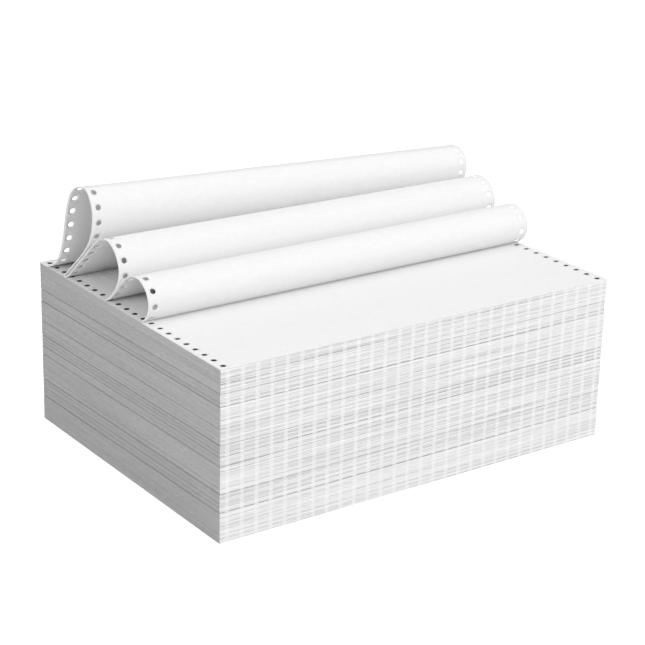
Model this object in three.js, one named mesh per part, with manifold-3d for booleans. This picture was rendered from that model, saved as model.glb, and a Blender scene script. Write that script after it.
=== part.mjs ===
// Fanfold form paper: a squared-up stack of wide continuous paper whose top sheets stand in three loops.
// The paper is one unbroken web, so the stack and its loops are one solid. Units are millimetres, +Z is up,
// and the origin is the centre of the footprint, on the surface that the stack rests on.
// X runs along the folds, -Y is the folded face that shows and +Y is the folded face behind it.
import * as THREE from "three";
import { mergeVertices } from "three/addons/utils/BufferGeometryUtils.js";
import Module from "manifold-3d";

// Stack
const leafWidth = 377.8;
const leafDepth = 279.4;
const stackHeight = 140.3;
const webThickness = 0.5;

// Feed holes down both margins
const holePitch = 12.7;
const holeInset = 6;
const holeDiameter = 4.6;
const holeSides = 8;

// Folded faces: rounded bundles of folds, parted by wider gaps where the paper was set down in lots
const bundleHeight = 3.6;
const bundleRecess = 0.9;
const gapRecess = 1.9;
const lotStagger = 0.35;
const gapHeights = [25, 40.5, 63, 70.5, 80, 93, 110.5, 121];
const gapFallToRear = 4;
const gapWidth = 0.45;
const gapSideDepth = 0.6;

// Loops of the top web, front to rear. Each one leaves the stack at its front foot, leans forward to its
// bulge, rises to its crest and runs down to its back foot. Heights are above the stack, a lean is the angle
// in degrees above the stack at a foot, and a pull is the length of a curve handle.
const frontFeet = [-25.2, 31.1, 99];
const frontLeans = [30, 32, 43];
const frontPulls = [8.7, 20.3, 38.4];
const bulgePlaces = [-37.2, 7.5, 48.5];
const bulgeHeights = [17.5, 31.6, 64.7];
const bulgePullsDown = [7.6, 10.4, 27.8];
const bulgePullsUp = [10.5, 5.6, 12.6];
const crestPlaces = [-20.5, 27.4, 60.8];
const crestHeights = [34.3, 51.3, 84.2];
const crestPullsForward = [5, 13.2, 3];
const crestPullsBack = [23, 15.1, 48.7];
const backFeet = [31, 95.2, 127.1];
const backLeans = [20, 40, 15];
const backPulls = [16.2, 56, 47];
const rightHeightShares = [0.95, 0.9, 0.77];   // the loops fall away to the right, the rear one most
const loopSteps = 14;

const frontEdge = -leafDepth / 2;
const rearEdge = leafDepth / 2;
const floorHeight = stackHeight - webThickness;
const holeX = leafWidth / 2 - holeInset;
const lastLoop = frontFeet.length - 1;

const wasm = await Module();
wasm.setup();

function toSolid(geometry) {
  geometry.deleteAttribute("normal");
  geometry.deleteAttribute("uv");
  const merged = mergeVertices(geometry, 1e-4);
  return new wasm.Manifold(new wasm.Mesh({
    numProp: 3,
    vertProperties: new Float32Array(merged.attributes.position.array),
    triVerts: new Uint32Array(merged.index.array),
  }));
}

// A section drawn as (y, z) and run along X, centred on the stack
function alongFolds(section, length) {
  const geometry = new THREE.ExtrudeGeometry(section, { depth: length, bevelEnabled: false });
  const yAxis = new THREE.Vector3(0, 1, 0);
  const zAxis = new THREE.Vector3(0, 0, 1);
  const xAxis = new THREE.Vector3(1, 0, 0);
  geometry.applyMatrix4(new THREE.Matrix4().makeBasis(yAxis, zAxis, xAxis));
  geometry.translate(-length / 2, 0, 0);
  return geometry;
}

// Distance of a folded face behind its outermost folds, as [recess, height] from the bottom up
function foldedFace(gapDrop) {
  const levels = [0, ...gapHeights.map((height) => height - gapDrop), floorHeight];
  const roundness = [[0.2, 0.3], [0.5, 0], [0.8, 0.3]];
  const face = [[0, 0]];
  for (let lot = 0; lot < levels.length - 1; lot++) {
    const bottom = levels[lot];
    const top = levels[lot + 1];
    const bundles = Math.max(1, Math.round((top - bottom) / bundleHeight));
    const step = (top - bottom) / bundles;
    const stagger = lot % 3 === 1 ? lotStagger : 0;
    for (let i = 0; i < bundles; i++) {
      for (const [share, depth] of roundness) {
        face.push([stagger + depth * bundleRecess, bottom + (i + share) * step]);
      }
      const lastOfLot = i === bundles - 1;
      const valley = lastOfLot ? gapRecess : stagger + bundleRecess;
      const isTop = lastOfLot && lot === levels.length - 2;
      face.push([isTop ? 0 : valley, bottom + (i + 1) * step]);
    }
  }
  return face;
}

function makeStack() {
  const section = new THREE.Shape();
  const front = foldedFace(0).map(([recess, height]) => new THREE.Vector2(frontEdge + recess, height));
  const rear = foldedFace(gapFallToRear).map(([recess, height]) => new THREE.Vector2(rearEdge - recess, height));
  section.setFromPoints([...rear, ...front.reverse()]);
  return toSolid(alongFolds(section, leafWidth));
}

// The gaps between lots show on the cut sides as thin grooves, which fall a little to the rear
function cutSideGaps(solid) {
  for (const height of gapHeights) {
    const length = Math.hypot(leafDepth, gapFallToRear);
    for (const side of [-1, 1]) {
      const groove = new THREE.BoxGeometry(2 * gapSideDepth, length, gapWidth);
      groove.rotateX(-Math.atan2(gapFallToRear, leafDepth));
      groove.translate(side * leafWidth / 2, 0, height - gapFallToRear / 2);
      solid = solid.subtract(toSolid(groove));
    }
  }
  return solid;
}

// The flat stretches of the top web, before the first loop and behind the last one
function addFlatWeb(solid) {
  const stretches = [[frontEdge, frontFeet[0]], [backFeet[lastLoop], rearEdge]];
  for (let i = 1; i <= lastLoop; i++) stretches.push([backFeet[i - 1], frontFeet[i]]);
  for (const [start, end] of stretches) {
    const sheet = new THREE.BoxGeometry(leafWidth, end - start, 2 * webThickness);
    sheet.translate(0, (start + end) / 2, floorHeight);
    solid = solid.add(toSolid(sheet));
  }
  return solid;
}

function drillStack(solid) {
  for (let y = frontEdge + holePitch / 2; y < rearEdge; y += holePitch) {
    for (const x of [-holeX, holeX]) {
      const shaft = new THREE.CylinderGeometry(holeDiameter / 2, holeDiameter / 2, 2 * stackHeight, holeSides);
      shaft.rotateX(Math.PI / 2);
      shaft.translate(x, y, stackHeight / 2);
      solid = solid.subtract(toSolid(shaft));
    }
  }
  return solid;
}

// The middle of the web along one loop, in the (y, z) plane, at a share of the loop's full height
function loopPath(i, heightShare) {
  const middle = stackHeight - webThickness / 2;
  const lift = (height) => middle + height * heightShare;
  const rise = (lean, pull) => {
    const angle = THREE.MathUtils.degToRad(lean);
    return new THREE.Vector2(-pull * Math.cos(angle), pull * Math.sin(angle) * heightShare);
  };
  const start = new THREE.Vector2(frontFeet[i], middle);
  const bulge = new THREE.Vector2(bulgePlaces[i], lift(bulgeHeights[i]));
  const crest = new THREE.Vector2(crestPlaces[i], lift(crestHeights[i]));
  const end = new THREE.Vector2(backFeet[i], middle);
  const path = new THREE.CurvePath();
  path.add(new THREE.CubicBezierCurve(
    start, start.clone().add(rise(frontLeans[i], frontPulls[i])),
    new THREE.Vector2(bulge.x, lift(bulgeHeights[i] - bulgePullsDown[i])), bulge,
  ));
  path.add(new THREE.CubicBezierCurve(
    bulge, new THREE.Vector2(bulge.x, lift(bulgeHeights[i] + bulgePullsUp[i])),
    new THREE.Vector2(crest.x - crestPullsForward[i], crest.y), crest,
  ));
  path.add(new THREE.CubicBezierCurve(
    crest, new THREE.Vector2(crest.x + crestPullsBack[i], crest.y),
    end.clone().add(rise(backLeans[i], backPulls[i])), end,
  ));
  return path;
}

function normalOf(tangent) {
  return new THREE.Vector2(-tangent.y, tangent.x);
}

// The outer and inner face of the web at one end of a loop, as points (x, y, z)
function loopEdge(path, x) {
  const outer = [];
  const inner = [];
  for (const curve of path.curves) {
    const first = curve === path.curves[0] ? 0 : 1;
    for (let i = first; i <= loopSteps; i++) {
      const offset = normalOf(curve.getTangent(i / loopSteps)).multiplyScalar(webThickness / 2);
      const point = curve.getPoint(i / loopSteps);
      outer.push([x, point.x + offset.x, point.y + offset.y]);
      inner.push([x, point.x - offset.x, point.y - offset.y]);
    }
  }
  return { outer, inner };
}

// A loop runs straight from its left end to its lower right end, with both faces split the same way
function makeLoop(leftPath, rightPath) {
  const left = loopEdge(leftPath, -leafWidth / 2);
  const right = loopEdge(rightPath, leafWidth / 2);
  const corners = [];
  const quad = (a, b, c, d) => corners.push(...a, ...b, ...d, ...b, ...c, ...d);
  const last = left.outer.length - 1;
  for (let i = 0; i < last; i++) {
    quad(left.outer[i + 1], left.outer[i], right.outer[i], right.outer[i + 1]);
    quad(left.inner[i + 1], right.inner[i + 1], right.inner[i], left.inner[i]);
    quad(left.outer[i], left.outer[i + 1], left.inner[i + 1], left.inner[i]);
    quad(right.inner[i], right.inner[i + 1], right.outer[i + 1], right.outer[i]);
  }
  quad(left.outer[0], left.inner[0], right.inner[0], right.outer[0]);
  quad(right.outer[last], right.inner[last], left.inner[last], left.outer[last]);
  const geometry = new THREE.BufferGeometry();
  geometry.setAttribute("position", new THREE.Float32BufferAttribute(corners, 3));
  return toSolid(geometry);
}

// Holes go on at the same pitch down one margin of a loop, square to the paper; travelled is the web used so far
function drillLoop(solid, path, x, travelled) {
  const length = path.getLength();
  const depth = webThickness + 1;
  const firstHole = Math.ceil(travelled / holePitch - 0.5);
  for (let i = firstHole; (i + 0.5) * holePitch < travelled + length; i++) {
    const share = ((i + 0.5) * holePitch - travelled) / length;
    const point = path.getPointAt(share);
    if (point.y - stackHeight < holeDiameter / 4) continue;
    const normal = normalOf(path.getTangentAt(share));
    const turn = new THREE.Quaternion().setFromUnitVectors(
      new THREE.Vector3(0, 1, 0), new THREE.Vector3(0, normal.x, normal.y),
    );
    const punch = new THREE.CylinderGeometry(holeDiameter / 2, holeDiameter / 2, depth, holeSides);
    punch.applyQuaternion(turn);
    punch.translate(x, point.x, point.y);
    solid = solid.subtract(toSolid(punch));
  }
  return solid;
}

function makePaper() {
  let paper = drillStack(addFlatWeb(cutSideGaps(makeStack())));
  const startOfLoops = frontFeet[0] - frontEdge;
  const travelled = { left: startOfLoops, right: startOfLoops };
  for (let i = 0; i <= lastLoop; i++) {
    const left = loopPath(i, 1);
    const right = loopPath(i, rightHeightShares[i]);
    if (i > 0) {
      travelled.left += frontFeet[i] - backFeet[i - 1];
      travelled.right += frontFeet[i] - backFeet[i - 1];
    }
    const loop = drillLoop(makeLoop(left, right), left, -holeX, travelled.left);
    paper = paper.add(drillLoop(loop, right, holeX, travelled.right));
    travelled.left += left.getLength();
    travelled.right += right.getLength();
  }
  return paper;
}

function toMesh(solid, name, material) {
  const { numProp, vertProperties, triVerts } = solid.getMesh();
  const geometry = new THREE.BufferGeometry();
  geometry.setAttribute("position", new THREE.BufferAttribute(new Float32Array(vertProperties), numProp));
  geometry.setIndex(new THREE.BufferAttribute(new Uint32Array(triVerts), 1));
  geometry.computeVertexNormals();
  const mesh = new THREE.Mesh(geometry, material);
  mesh.name = name;
  return mesh;
}

const paperMaterial = new THREE.MeshStandardMaterial({ color: 0xf0f0ee, roughness: 0.85, metalness: 0 });

const fanfoldPaper = new THREE.Group();
fanfoldPaper.add(toMesh(makePaper(), "fanfold_paper", paperMaterial));

export default fanfoldPaper;
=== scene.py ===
import math
import random

import bmesh
import bpy
from mathutils import Matrix, Vector


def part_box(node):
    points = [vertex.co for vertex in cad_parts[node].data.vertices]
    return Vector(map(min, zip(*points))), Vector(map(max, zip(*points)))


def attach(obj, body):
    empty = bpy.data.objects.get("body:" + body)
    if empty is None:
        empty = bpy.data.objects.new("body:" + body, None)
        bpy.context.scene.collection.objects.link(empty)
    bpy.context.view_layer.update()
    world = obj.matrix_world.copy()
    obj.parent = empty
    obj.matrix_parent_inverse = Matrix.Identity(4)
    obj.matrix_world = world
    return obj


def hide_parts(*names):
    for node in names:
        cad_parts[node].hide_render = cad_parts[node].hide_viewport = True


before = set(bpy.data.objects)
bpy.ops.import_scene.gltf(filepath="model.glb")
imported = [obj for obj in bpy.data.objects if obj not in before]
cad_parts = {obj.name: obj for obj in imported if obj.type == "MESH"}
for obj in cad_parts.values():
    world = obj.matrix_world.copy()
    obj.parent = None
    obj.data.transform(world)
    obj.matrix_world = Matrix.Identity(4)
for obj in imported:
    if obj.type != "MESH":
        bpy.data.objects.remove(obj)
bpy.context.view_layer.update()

low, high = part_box("fanfold_paper")
leafWidth = high[0] - low[0]
leafDepth = high[1] - low[1]
frontEdge = low[1]
rearEdge = high[1]
mm = 0.001

# The feed holes down both margins, the same in the stack and in the web
holes = {
    "pitch": 12.7 * mm,
    "inset": 6 * mm,
    "radius": 2.3 * mm,
}
holeX = leafWidth / 2 - holes["inset"]
marginWidth = 2 * holes["inset"]

def newNode(tree, kind, **values):
    node = tree.nodes.new(kind)
    for name, value in values.items():
        setattr(node, name, value)
    return node


def setInputs(node, **values):
    for name, value in values.items():
        node.inputs[name].default_value = value


def makeStreakGroup():
    # Streaks that run along a direction: a noise field squeezed by Scale, as a mask from 0 to 1
    group = bpy.data.node_groups.new("paperStreaks", "ShaderNodeTree")
    group.interface.new_socket("Place", in_out="INPUT", socket_type="NodeSocketVector")
    group.interface.new_socket("Scale", in_out="INPUT", socket_type="NodeSocketVector")
    group.interface.new_socket("Detail", in_out="INPUT", socket_type="NodeSocketFloat")
    group.interface.new_socket("Low", in_out="INPUT", socket_type="NodeSocketFloat")
    group.interface.new_socket("High", in_out="INPUT", socket_type="NodeSocketFloat")
    group.interface.new_socket("Mask", in_out="OUTPUT", socket_type="NodeSocketFloat")
    source = newNode(group, "NodeGroupInput")
    result = newNode(group, "NodeGroupOutput")
    squeeze = newNode(group, "ShaderNodeVectorMath", operation="MULTIPLY")
    noise = newNode(group, "ShaderNodeTexNoise")
    setInputs(noise, Scale=1.0, Roughness=0.6)
    spread = newNode(group, "ShaderNodeMapRange")
    group.links.new(source.outputs["Place"], squeeze.inputs[0])
    group.links.new(source.outputs["Scale"], squeeze.inputs[1])
    group.links.new(squeeze.outputs[0], noise.inputs["Vector"])
    group.links.new(source.outputs["Detail"], noise.inputs["Detail"])
    group.links.new(noise.outputs["Fac"], spread.inputs["Value"])
    group.links.new(source.outputs["Low"], spread.inputs["From Min"])
    group.links.new(source.outputs["High"], spread.inputs["From Max"])
    group.links.new(spread.outputs["Result"], result.inputs["Mask"])
    return group


streakGroup = makeStreakGroup()


# The paper's surfaces: pairs of greys that a mask mixes, and streaks with how closely they run per metre
paper = {
    "sheen": 0.3,
    "sheetRoughness": 0.82,
    "sheetGreys": (0.85, 0.875),
    "sheetMottle": {"scale": (260, 260, 260), "detail": 4.0},
    "sheetTooth": {"scale": (2600, 2600, 2600), "detail": 3.0},
    "toothBump": {"distance": 0.02 * mm, "strength": 0.35},
    "foldRoughness": 0.85,
    "foldGreys": (0.86, 0.92),
    "foldLeaves": {"scale": (14, 14, 1900), "detail": 3.0},
    "foldShadeLines": {"scale": (7, 7, 800), "lowEnd": 0.42, "highEnd": 0.62},
    "foldShadeLineGroups": {"scale": (1.5, 1.5, 60), "detail": 1.0, "lowEnd": 0.4, "highEnd": 0.62},
    "faintShadeLineGrey": 0.78,
    "strongShadeLineGrey": 0.65,
    "tieLightGreys": (0.94, 0.84),
    "foldPaintedShadeGrey": 0.42,
    "foldPaintedShadeWarmth": -0.01,
    "foldBump": {"distance": 0.08 * mm, "strength": 0.5},
    "cutRoughness": 0.9,
    "cutShadedGreys": (0.36, 0.5),
    "cutShadedBandGreys": (0.31, 0.44),
    "cutLeaves": {"scale": (160, 160, 2600), "detail": 4.0, "lowEnd": 0.3, "highEnd": 0.7},
    "cutBands": {"scale": (4, 7, 240), "detail": 3.0, "lowEnd": 0.38, "highEnd": 0.66},
    "cutPaintedShadeGrey": 0.15,
    "cutBump": {"distance": 0.06 * mm, "strength": 0.6},
    "holeRoughness": 0.95,
    "holeShadeGreys": (0.05, 0.09),
    "holeLeaves": {"scale": (40, 40, 2400)},
}


def startMaterial(name, roughness):
    material = bpy.data.materials.new(name)
    material.use_nodes = True
    tree = material.node_tree
    shader = tree.nodes["Principled BSDF"]
    setInputs(shader, Roughness=roughness)
    shader.inputs["Specular IOR Level"].default_value = paper["sheen"]
    place = newNode(tree, "ShaderNodeTexCoord").outputs["Object"]
    return material, tree, shader, place


def addStreaks(tree, place, scale, detail=2.0, lowEnd=0.35, highEnd=0.65):
    node = newNode(tree, "ShaderNodeGroup", node_tree=streakGroup)
    setInputs(node, Scale=scale, Detail=detail, Low=lowEnd, High=highEnd)
    tree.links.new(place, node.inputs["Place"])
    return node.outputs["Mask"]


def mixColour(tree, mask, colourA, colourB):
    mix = newNode(tree, "ShaderNodeMix", data_type="RGBA")
    for socket, value in ((mix.inputs[0], mask), (mix.inputs[6], colourA), (mix.inputs[7], colourB)):
        if isinstance(value, (tuple, float)):
            socket.default_value = value
        else:
            tree.links.new(value, socket)
    return mix.outputs[2]


def addBump(tree, shader, height, distance, strength):
    bump = newNode(tree, "ShaderNodeBump")
    setInputs(bump, Strength=strength, Distance=distance)
    tree.links.new(height, bump.inputs["Height"])
    tree.links.new(bump.outputs["Normal"], shader.inputs["Normal"])


def grey(value, warmth=0.0):
    return (value * (1 + warmth), value, value * (1 - warmth), 1.0)


def mixGreys(tree, mask, greys):
    return mixColour(tree, mask, grey(greys[0]), grey(greys[1]))


def makeSheetMaterial():
    # Uncoated sheet: nearly white, with a soft fibre mottle and a fine tooth
    material, tree, shader, place = startMaterial("uncoatedSheet", paper["sheetRoughness"])
    mottle = addStreaks(tree, place, **paper["sheetMottle"])
    tree.links.new(mixGreys(tree, mottle, paper["sheetGreys"]), shader.inputs["Base Color"])
    tooth = addStreaks(tree, place, **paper["sheetTooth"])
    addBump(tree, shader, tooth, **paper["toothBump"])
    return material


def makeFoldMaterial():
    # Folded edges: painted shade follows how deep a fold lies, painted shade lines between the folds come and
    # go, and the ties carry painted light
    material, tree, shader, place = startMaterial("foldedEdges", paper["foldRoughness"])
    depth = newNode(tree, "ShaderNodeAttribute", attribute_name="foldShade").outputs["Fac"]
    tie = newNode(tree, "ShaderNodeAttribute", attribute_name="foldTieLight").outputs["Fac"]
    leaves = addStreaks(tree, place, **paper["foldLeaves"])
    # Painted shade lines between the folds, faint in most places and strong in groups
    lines = addStreaks(tree, place, **paper["foldShadeLines"])
    groups = addStreaks(tree, place, **paper["foldShadeLineGroups"])
    base = mixGreys(tree, leaves, paper["foldGreys"])
    faint = mixColour(tree, lines, base, grey(paper["faintShadeLineGrey"]))
    strong = mixColour(tree, lines, base, grey(paper["strongShadeLineGrey"]))
    lined = mixColour(tree, groups, faint, strong)
    # Painted light: the ties and some crests in the loose packs are painted lighter
    tied = mixColour(tree, tie, lined, mixGreys(tree, lines, paper["tieLightGreys"]))
    # Painted shade: the deeper a fold lies, the nearer its colour comes to a dark grey
    shaded = mixColour(tree, depth, tied, grey(paper["foldPaintedShadeGrey"], paper["foldPaintedShadeWarmth"]))
    tree.links.new(shaded, shader.inputs["Base Color"])
    addBump(tree, shader, leaves, **paper["foldBump"])
    return material


def makeCutMaterial():
    # Cut edges: thousands of leaf edges in long fine streaks, painted a dark grey as shade, with painted
    # shade lines at the gaps between lots
    material, tree, shader, place = startMaterial("cutEdges", paper["cutRoughness"])
    fine = addStreaks(tree, place, **paper["cutLeaves"])
    broad = addStreaks(tree, place, **paper["cutBands"])
    # Painted shade: the cut sides are a dark grey, as a side turned away from the light, streaked by the leaf
    # edges
    base = mixGreys(tree, fine, paper["cutShadedGreys"])
    # Painted shade: the gaps between lots and bundles darken the cut sides in lines
    depth = newNode(tree, "ShaderNodeAttribute", attribute_name="foldShade").outputs["Fac"]
    streaked = mixColour(tree, broad, base, mixGreys(tree, fine, paper["cutShadedBandGreys"]))
    shaded = mixColour(tree, depth, streaked, grey(paper["cutPaintedShadeGrey"]))
    tree.links.new(shaded, shader.inputs["Base Color"])
    addBump(tree, shader, fine, **paper["cutBump"])
    return material


def makeHoleMaterial():
    # Punched walls deep in the stack, painted dark as the shade inside the holes, with faint streaks of leaf
    # edges
    material, tree, shader, place = startMaterial("punchedWalls", paper["holeRoughness"])
    leaves = addStreaks(tree, place, **paper["holeLeaves"])
    tree.links.new(mixGreys(tree, leaves, paper["holeShadeGreys"]), shader.inputs["Base Color"])
    return material


sheetMaterial = makeSheetMaterial()
foldMaterial = makeFoldMaterial()
cutMaterial = makeCutMaterial()
holeMaterial = makeHoleMaterial()
print("materials made")


def finishPiece(bm, name, materials):
    mesh = bpy.data.meshes.new(name)
    bm.to_mesh(mesh)
    bm.free()
    piece = bpy.data.objects.new(name, mesh)
    for material in materials:
        mesh.materials.append(material)
    bpy.context.collection.objects.link(piece)
    return piece


# The stack: folded faces front and rear, cut faces left and right, shafts of feed holes
stack = {
    "height": 140.3 * mm,
    "gapHeights": [25, 40.5, 63, 70.5, 80, 93, 110.5, 121],   # where the paper was set down in lots, mm
    "gapFallToRear": 4 * mm,
    "bundleHeight": 3.6 * mm,
    "foldsPerBundle": 3,
    "foldSpread": (0.75, 1.25),      # how far fold heights differ
    "crestSpan": (0.3, 0.72),        # where the crest of a fold starts and ends, as shares of its height
    "foldRecess": 0.22 * mm,
    "foldScatter": 0.16 * mm,
    "bundleRecess": 0.8 * mm,
    "bundleSpread": (0.6, 1.15),     # how far the recesses between bundles differ
    "crownShare": 0.45,              # how round a bundle is
    "gapRecess": 1.7 * mm,
    "topRecess": 0.1 * mm,
    "bottomRecess": 0.2 * mm,
    "lotStagger": 0.35 * mm,
    "staggerEvery": 3,
    "bottomShade": 0.3,
    "shadePower": 1.5,
    "loosePacks": ((22, 48), (67, 88), (108, 116)),   # heights between which the bundles part, mm
    "looseShade": 0.45,
    "looseLight": 0.6,
    "tieCount": 29,          # uncut ties across the perforated fold
    "tieWidth": 2.8 * mm,
    "tieEdge": 0.9 * mm,
    "tieRecessShare": 0.4,   # the ties hold the folds closer together than the cuts do
    "sideGap": 0.55 * mm,
    "sideRagged": 0.05 * mm,
    "tuckRange": (0.75, 1.25),   # ends between which a fold's recess wavers
    "shadeRange": (0.7, 1.2),
    "tieLightRange": (0.35, 0.75),
    "waveAcross": (31, 13.3),    # radians per metre of the two waves that the wavering is made of
    "wavePerRow": (2.7, 0.9),
    "shaftSides": 20,
    "webGap": 0.05 * mm,     # below the top web
    "seed": 7,
}


def between(ends, share):
    return ends[0] + (ends[1] - ends[0]) * share


def foldRows():
    # Every row of the folded faces from the bottom up: its height in front and behind, how far it is tucked
    # in, how far the cut sides draw back beside it, and how much painted shade and painted light it carries
    stackTop = stack["height"] - web["thickness"] - stack["webGap"]
    levels = [0] + [height * mm for height in stack["gapHeights"]] + [stackTop]
    rng = random.Random(stack["seed"])
    rows = [{"front": 0, "rear": 0, "tuck": stack["bottomRecess"], "side": 0, "gap": stack["bottomShade"],
             "light": 0}]
    crestStart, crestEnd = stack["crestSpan"]
    lastLot = len(levels) - 2
    for lot in range(len(levels) - 1):
        bottom, top = levels[lot], levels[lot + 1]
        rearBottom = bottom - (stack["gapFallToRear"] if lot > 0 else 0)
        rearTop = top - (stack["gapFallToRear"] if lot < lastLot else 0)
        bundles = max(1, round((top - bottom) / stack["bundleHeight"]))
        folds = bundles * stack["foldsPerBundle"]
        stagger = stack["lotStagger"] if lot % stack["staggerEvery"] == 1 else 0
        weights = [rng.uniform(*stack["foldSpread"]) for _ in range(folds)]
        total = sum(weights)
        passed = 0
        for i, weight in enumerate(weights):
            inBundle = (i % stack["foldsPerBundle"] + 0.5) / stack["foldsPerBundle"]
            crown = (2 * inBundle - 1) ** 2 * stack["bundleRecess"] * stack["crownShare"]
            crest = stagger + crown + rng.uniform(0, stack["foldScatter"])
            lastOfBundle = i % stack["foldsPerBundle"] == stack["foldsPerBundle"] - 1
            lastOfLot = i == folds - 1
            valley = stack["gapRecess"] if lastOfLot else crest + stack["foldRecess"]
            if lastOfBundle and not lastOfLot:
                valley = stagger + stack["bundleRecess"] * rng.uniform(*stack["bundleSpread"])
            if lastOfLot and lot == lastLot:
                valley = stack["topRecess"]
            foot = between((bottom, top), passed / total) / mm
            isLoose = any(lowest < foot < highest for lowest, highest in stack["loosePacks"])
            isParting = isLoose and inBundle < 1 / stack["foldsPerBundle"]
            for share, tuck in ((crestStart, crest), (crestEnd, crest), (1.0, valley)):
                rise = (passed + share * weight) / total
                isValley = share == 1.0
                # Painted shade: a valley is painted darker the deeper it is tucked in
                gap = (tuck / stack["gapRecess"]) ** stack["shadePower"] if isValley else 0.0
                side = stack["sideGap"] if isValley and lastOfLot else rng.uniform(0, stack["sideRagged"])
                rows.append({
                    "front": between((bottom, top), rise),
                    "rear": between((rearBottom, rearTop), rise),
                    "tuck": tuck,
                    "side": side,
                    # Painted shade on the first crest of a bundle that parts in a loose pack
                    "gap": max(gap, stack["looseShade"]) if isParting and share == crestStart else gap,
                    # Painted light on the other crests in a loose pack, beside the parting shade
                    "light": stack["looseLight"] if isLoose and not isParting and not isValley else 0.0,
                })
            passed += weight
    rows[-1]["side"] = 0
    return rows


def foldColumns():
    # Columns across the width, four to each tie, with the share of a fold's recess that each one keeps
    pitch = leafWidth / stack["tieCount"]
    half = stack["tieWidth"] / 2
    columns = [(-leafWidth / 2, 1.0)]
    for i in range(stack["tieCount"]):
        middle = -leafWidth / 2 + (i + 0.5) * pitch
        columns += [
            (middle - half - stack["tieEdge"], 1.0), (middle - half, stack["tieRecessShare"]),
            (middle + half, stack["tieRecessShare"]), (middle + half + stack["tieEdge"], 1.0),
        ]
    columns.append((leafWidth / 2, 1.0))
    return columns


def waver(x, row):
    # Two slow waves across a folded face, multiplied and brought between 0 and 1, so no fold runs dead even
    across, perRow = stack["waveAcross"], stack["wavePerRow"]
    short = math.sin(x * across[0] + row * perRow[0])
    long = math.sin(x * across[1] + row * perRow[1] + 1)
    return 0.5 + 0.5 * short * long


def addFoldedFace(bm, rows, columns, facing):
    shade = bm.verts.layers.float.get("foldShade") or bm.verts.layers.float.new("foldShade")
    tie = bm.verts.layers.float.get("foldTieLight") or bm.verts.layers.float.new("foldTieLight")
    grid = bmesh.ops.create_grid(bm, x_segments=len(columns) - 1, y_segments=len(rows) - 1, size=1)
    borders = {"left": [], "right": [], "top": [], "bottom": []}
    for vert in grid["verts"]:
        column = round((vert.co.x + 1) / 2 * (len(columns) - 1))
        row = round((vert.co.y + 1) / 2 * (len(rows) - 1))
        x, share = columns[column]
        line = rows[row]
        atSide = column in (0, len(columns) - 1)
        wander = waver(x, row)
        tuck = line["tuck"] * share * between(stack["tuckRange"], wander)
        if atSide:
            x -= math.copysign(line["side"], x)
        edge = frontEdge if facing < 0 else rearEdge
        height = line["front"] if facing < 0 else line["rear"]
        vert.co = Vector((x, edge - facing * tuck, height))
        # Painted shade in the valleys between folds, less on the ties
        vert[shade] = line["gap"] * share * between(stack["shadeRange"], wander)
        # Painted light on the ties, and on crests in the loose packs
        vert[tie] = between(stack["tieLightRange"], wander) if share < 1 else line["light"] * wander
        if column == 0:
            borders["left"].append(vert)
        if column == len(columns) - 1:
            borders["right"].append(vert)
        if row == len(rows) - 1:
            borders["top"].append(vert)
        if row == 0:
            borders["bottom"].append(vert)
    return borders


def edgesBetween(verts):
    chosen = set(verts)
    return [edge for vert in verts for edge in vert.link_edges
            if edge.other_vert(vert) in chosen and edge.verts[0] == vert]


def shaftCutter():
    bm = bmesh.new()
    count = round(leafDepth / holes["pitch"])
    for i in range(count):
        y = frontEdge + (i + 0.5) * holes["pitch"]
        for x in (-holeX, holeX):
            bmesh.ops.create_cone(
                bm, cap_ends=True, cap_tris=False, segments=stack["shaftSides"],
                radius1=holes["radius"], radius2=holes["radius"], depth=2 * stack["height"],
                matrix=Matrix.Translation((x, y, stack["height"] / 2)))
    return finishPiece(bm, "shaftCutter", [])


stackMaterials = {"sheet": sheetMaterial, "folds": foldMaterial, "cut": cutMaterial, "holes": holeMaterial}
materialPlaces = {name: i for i, name in enumerate(stackMaterials)}


def makeStack():
    bm = bmesh.new()
    rows = foldRows()
    columns = foldColumns()
    front = addFoldedFace(bm, rows, columns, -1)
    rear = addFoldedFace(bm, rows, columns, 1)
    for side in ("left", "right", "top", "bottom"):
        bmesh.ops.bridge_loops(bm, edges=edgesBetween(front[side]) + edgesBetween(rear[side]))
    bmesh.ops.recalc_face_normals(bm, faces=bm.faces)
    for face in bm.faces:
        isAtSide = abs(face.calc_center_median().x) > leafWidth / 2 - mm
        isTopOrBottom = abs(face.normal.z) > 0.7 and face.calc_area() > leafDepth * 2 * mm
        if isAtSide:
            face.material_index = materialPlaces["cut"]
        elif isTopOrBottom:
            face.material_index = materialPlaces["sheet"]
        else:
            face.material_index = materialPlaces["folds"]
    piece = finishPiece(bm, "paper_stack", stackMaterials.values())
    cutter = shaftCutter()
    cut = piece.modifiers.new("feedHoles", "BOOLEAN")
    cut.operation = "DIFFERENCE"
    cut.solver = "MANIFOLD"
    cut.object = cutter
    graph = bpy.context.evaluated_depsgraph_get()
    drilled = bpy.data.meshes.new_from_object(piece.evaluated_get(graph))
    piece.modifiers.clear()
    piece.data = drilled
    bpy.data.objects.remove(cutter)
    # The feed holes' walls take the dark material: painted shade inside the holes
    for polygon in drilled.polygons:
        centre = polygon.center
        isNearHole = abs(abs(centre.x) - holeX) < holes["radius"] * 1.05
        isWall = abs(polygon.normal.z) < 0.1 and centre.z > 0
        isWithin = abs(centre.y) < leafDepth / 2 - 3 * mm and abs(centre.x) < leafWidth / 2 - 2 * mm
        if isNearHole and isWall and isWithin:
            polygon.material_index = materialPlaces["holes"]
    return piece


# The web: one sheet that runs flat, stands up in three loops and lies flat again
web = {
    "thickness": 0.35 * mm,
    "stepsPerPitch": 8,
    "collarShares": (0.4, 1.0),   # how far out from a hole's rim its collar and its square lie
    "columns": 24,
    "weldReach": 0.02 * mm,
    "creaseReach": 0.45,          # rows this near a crease, in row heights, move onto it
    "widthShare": 0.9998,         # keeps the sloping loops within the leaf's width
}

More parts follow.
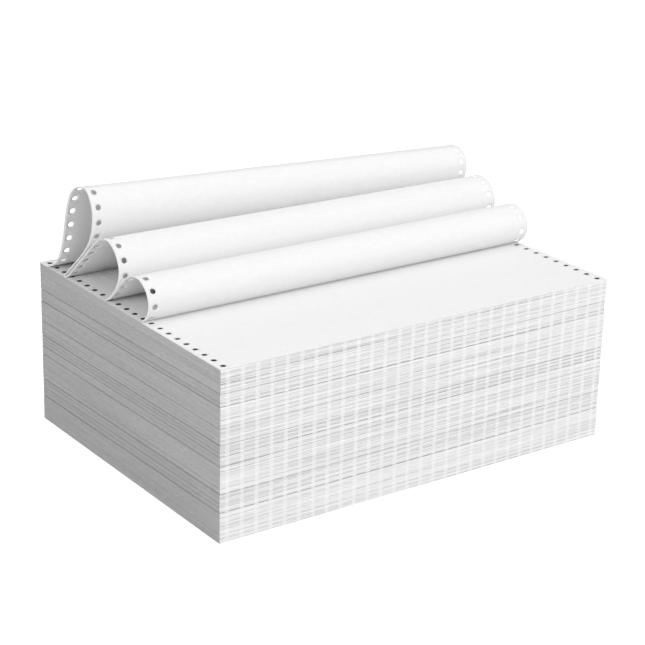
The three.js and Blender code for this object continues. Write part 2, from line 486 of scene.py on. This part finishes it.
# Each loop leaves at its front foot, leans forward to its bulge, rises to its crest and runs down behind.
# Places are (y, height above the stack) in mm, leans in degrees and pulls the handle lengths in mm.
# The loops fall away to the right, where each keeps only its right share of these heights.
loops = [
    {"frontFoot": -25.2, "frontLean": 30, "frontPull": 8.7, "bulge": (-37.2, 17.5), "bulgePull": (7.6, 10.5),
     "crest": (-20.5, 34.3), "crestPull": (5, 23), "backPull": 16.2, "backLean": 20, "backFoot": 31,
     "rightShare": 0.95},
    {"frontFoot": 31.1, "frontLean": 32, "frontPull": 20.3, "bulge": (7.5, 31.6), "bulgePull": (10.4, 5.6),
     "crest": (27.4, 51.3), "crestPull": (13.2, 15.1), "backPull": 56, "backLean": 40, "backFoot": 95.2,
     "rightShare": 0.9},
    {"frontFoot": 99, "frontLean": 43, "frontPull": 38.4, "bulge": (48.5, 64.7), "bulgePull": (27.8, 12.6),
     "crest": (60.8, 84.2), "crestPull": (3, 48.7), "backPull": 47, "backLean": 15, "backFoot": 127.1,
     "rightShare": 0.77},
]


def bezier(start, pullA, pullB, end, steps=48):
    points = []
    for i in range(steps + 1):
        t = i / steps
        u = 1 - t
        points.append(start * u ** 3 + pullA * 3 * u * u * t + pullB * 3 * u * t * t + end * t ** 3)
    return points


def webPath():
    # The middle of the web from front edge to rear edge, as pairs of (y, z) at the left and the right margin,
    # how far each pair lies along the left margin, and how far along the creases lie
    middle = stack["height"] - web["thickness"] / 2

    def place(y, height):
        return Vector((y * mm, height * mm))

    def rise(lean, pull):
        return Vector((-math.cos(math.radians(lean)), math.sin(math.radians(lean)))) * pull * mm

    points = [Vector((frontEdge, middle))]
    rightPoints = [Vector((frontEdge, middle))]
    corners = []
    for loop in loops:
        start = place(loop["frontFoot"], 0)
        bulge = place(*loop["bulge"])
        crest = place(*loop["crest"])
        end = place(loop["backFoot"], 0)
        curve = bezier(start, start + rise(loop["frontLean"], loop["frontPull"]),
                       bulge - place(0, loop["bulgePull"][0]), bulge)
        curve += bezier(bulge, bulge + place(0, loop["bulgePull"][1]),
                        crest - place(loop["crestPull"][0], 0), crest)[1:]
        curve += bezier(crest, crest + place(loop["crestPull"][1], 0),
                        end + rise(loop["backLean"], loop["backPull"]), end)[1:]
        corners.append(len(points))
        points += [Vector((point.x, middle + point.y)) for point in curve]
        rightPoints += [Vector((point.x, middle + point.y * loop["rightShare"])) for point in curve]
        corners.append(len(points) - 1)
    points.append(Vector((rearEdge, middle)))
    rightPoints.append(Vector((rearEdge, middle)))
    travelled = [0.0]
    for before, after in zip(points, points[1:]):
        travelled.append(travelled[-1] + (after - before).length)
    return points, rightPoints, travelled, [travelled[i] for i in corners]


def alongPath(points, travelled, distance):
    low, high = 0, len(travelled) - 1
    while high - low > 1:
        middle = (low + high) // 2
        if travelled[middle] <= distance:
            low = middle
        else:
            high = middle
    span = travelled[high] - travelled[low]
    return points[low].lerp(points[high], (distance - travelled[low]) / span if span else 0)


def addMarginCell(bm, x, y):
    # One feed hole in its square of margin: the rim, a collar round it, and the square's edge
    steps = web["stepsPerPitch"]
    half = Vector((marginWidth / 2, holes["pitch"] / 2, 0))
    outline = []
    for side in range(4):
        for i in range(steps):
            along = 2 * i / steps - 1
            corner = [(along, -1), (1, along), (-along, 1), (-1, -along)][side]
            outline.append(Vector((corner[0] * half.x, corner[1] * half.y, 0)))
    centre = Vector((x, y, 0))
    ring = bmesh.ops.create_circle(bm, segments=4 * steps, radius=holes["radius"])["verts"]
    for vert, point in zip(ring, outline):
        vert.co = centre + point.normalized() * holes["radius"]
    for share in web["collarShares"]:
        edges = edgesBetween(ring)
        grown = bmesh.ops.extrude_edge_only(bm, edges=edges)["geom"]
        outer = [item for item in grown if isinstance(item, bmesh.types.BMVert)]
        pairs = {}
        for vert in outer:
            pairs[vert] = min(range(len(ring)), key=lambda i: (ring[i].co - vert.co).length)
        ordered = sorted(outer, key=lambda vert: pairs[vert])
        for vert, point in zip(ordered, outline):
            vert.co = centre + (point.normalized() * holes["radius"]).lerp(point, share)
        ring = ordered


def makeWeb():
    points, rightPoints, travelled, creases = webPath()
    length = travelled[-1]
    cells = round(length / holes["pitch"])
    bm = bmesh.new()
    for i in range(cells):
        for x in (-holeX, holeX):
            addMarginCell(bm, x, (i + 0.5) * holes["pitch"])
    inner = leafWidth / 2 - marginWidth
    grid = bmesh.ops.create_grid(
        bm, x_segments=web["columns"], y_segments=cells * web["stepsPerPitch"], size=1)["verts"]
    for vert in grid:
        vert.co = Vector((vert.co.x * inner, (vert.co.y + 1) / 2 * cells * holes["pitch"], 0))
    bmesh.ops.remove_doubles(bm, verts=bm.verts, dist=web["weldReach"])
    bmesh.ops.recalc_face_normals(bm, faces=bm.faces)
    bm.normal_update()
    if sum(face.normal.z for face in bm.faces) < 0:
        bmesh.ops.reverse_faces(bm, faces=bm.faces)
    row = holes["pitch"] / web["stepsPerPitch"]
    stretch = length / (cells * holes["pitch"])
    for vert in bm.verts:
        distance = vert.co.y * stretch
        for crease in creases:
            if abs(distance - crease) < row * web["creaseReach"]:
                distance = crease
        distance = min(max(distance, 0), length)
        left = alongPath(points, travelled, distance)
        right = alongPath(rightPoints, travelled, distance)
        place = left.lerp(right, vert.co.x / leafWidth + 0.5)
        vert.co = Vector((vert.co.x * web["widthShare"], place.x, place.y))
    for face in bm.faces:
        face.smooth = True
    piece = finishPiece(bm, "top_web", [sheetMaterial])
    thick = piece.modifiers.new("thickness", "SOLIDIFY")
    thick.thickness = web["thickness"]
    thick.offset = 0
    return piece


stackPiece = makeStack()
print("stack made", len(stackPiece.data.polygons))
webPiece = makeWeb()
print("web made", len(webPiece.data.polygons))

for piece in (stackPiece, webPiece):
    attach(piece, "root")
    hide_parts("fanfold_paper")

# The camera, from the photograph's vanishing lines: place in metres, angles in degrees
camera = {
    "place": (-0.8978, -1.2508, 0.6771),
    "azimuth": 35.69,
    "elevation": 20.73,
    "roll": 1.46,
    "lens": 109.96,
    "sensorWidth": 36,
}


def makeCamera():
    data = bpy.data.cameras.new("camera")
    data.lens = camera["lens"]
    data.sensor_width = camera["sensorWidth"]
    eye = bpy.data.objects.new("camera", data)
    azimuth = math.radians(camera["azimuth"])
    elevation = math.radians(camera["elevation"])
    ahead = Vector((math.sin(azimuth) * math.cos(elevation), math.cos(azimuth) * math.cos(elevation),
                    -math.sin(elevation)))
    turn = ahead.to_track_quat("-Z", "Y").to_matrix().to_4x4()
    roll = Matrix.Rotation(math.radians(camera["roll"]), 4, "Z")
    eye.matrix_world = Matrix.Translation(camera["place"]) @ turn @ roll
    bpy.context.collection.objects.link(eye)
    bpy.context.scene.camera = eye


# The studio: a pale sky, three soft lamps and a pale floor, in metres and watts
studio = {
    "skyStrength": 0.59,
    "lamps": {
        "key": {"place": (1.1, -1.5, 1.5), "size": 1.6, "power": 19},
        "top": {"place": (0.1, 0.2, 2.2), "size": 2.2, "power": 7},
        "fill": {"place": (-1.8, -0.55, 1.0), "size": 0.9, "power": 11},
    },
    "lampAim": (0, 0, 0.08),
    "floorReach": 6,
    "floorGrey": 0.9,
    "floorGlow": 0.42,   # only the camera sees it
}


def addAreaLight(name, place, size, power):
    data = bpy.data.lights.new(name, "AREA")
    data.shape = "DISK"
    data.size = size
    data.energy = power
    lamp = bpy.data.objects.new(name, data)
    lamp.location = place
    lamp.rotation_euler = (Vector(studio["lampAim"]) - Vector(place)).to_track_quat("-Z", "Y").to_euler()
    bpy.context.collection.objects.link(lamp)


def makeSky():
    sky = bpy.data.worlds.new("studio")
    sky.use_nodes = True
    tree = sky.node_tree
    background = tree.nodes["Background"]
    path = newNode(tree, "ShaderNodeLightPath")
    seen = newNode(tree, "ShaderNodeMath", operation="MAXIMUM")
    tree.links.new(path.outputs["Is Camera Ray"], seen.inputs[0])
    tree.links.new(path.outputs["Is Transmission Ray"], seen.inputs[1])
    strength = newNode(tree, "ShaderNodeMapRange")
    setInputs(strength, **{"To Min": studio["skyStrength"], "To Max": 1.0})
    tree.links.new(seen.outputs[0], strength.inputs["Value"])
    background.inputs["Color"].default_value = grey(1.0)
    tree.links.new(strength.outputs["Result"], background.inputs["Strength"])
    bpy.context.scene.world = sky


def makeFloor():
    bm = bmesh.new()
    bmesh.ops.create_grid(bm, x_segments=1, y_segments=1, size=studio["floorReach"])
    floor = finishPiece(bm, "floor", [])
    material = bpy.data.materials.new("paleFloor")
    material.use_nodes = True
    tree = material.node_tree
    shader = tree.nodes["Principled BSDF"]
    setInputs(shader, Roughness=1.0)
    shader.inputs["Specular IOR Level"].default_value = 0.0
    path = newNode(tree, "ShaderNodeLightPath")
    seen = path.outputs["Is Camera Ray"]
    ground = mixColour(tree, seen, grey(studio["floorGrey"]), grey(1.0))
    glow = mixColour(tree, seen, grey(0.0), grey(studio["floorGlow"]))
    tree.links.new(ground, shader.inputs["Base Color"])
    tree.links.new(glow, shader.inputs["Emission Color"])
    shader.inputs["Emission Strength"].default_value = 1.0
    floor.data.materials.append(material)


makeCamera()
makeSky()
for name, lamp in studio["lamps"].items():
    addAreaLight(name, **lamp)
makeFloor()
bpy.context.scene.view_settings.view_transform = "Standard"
print("studio made")
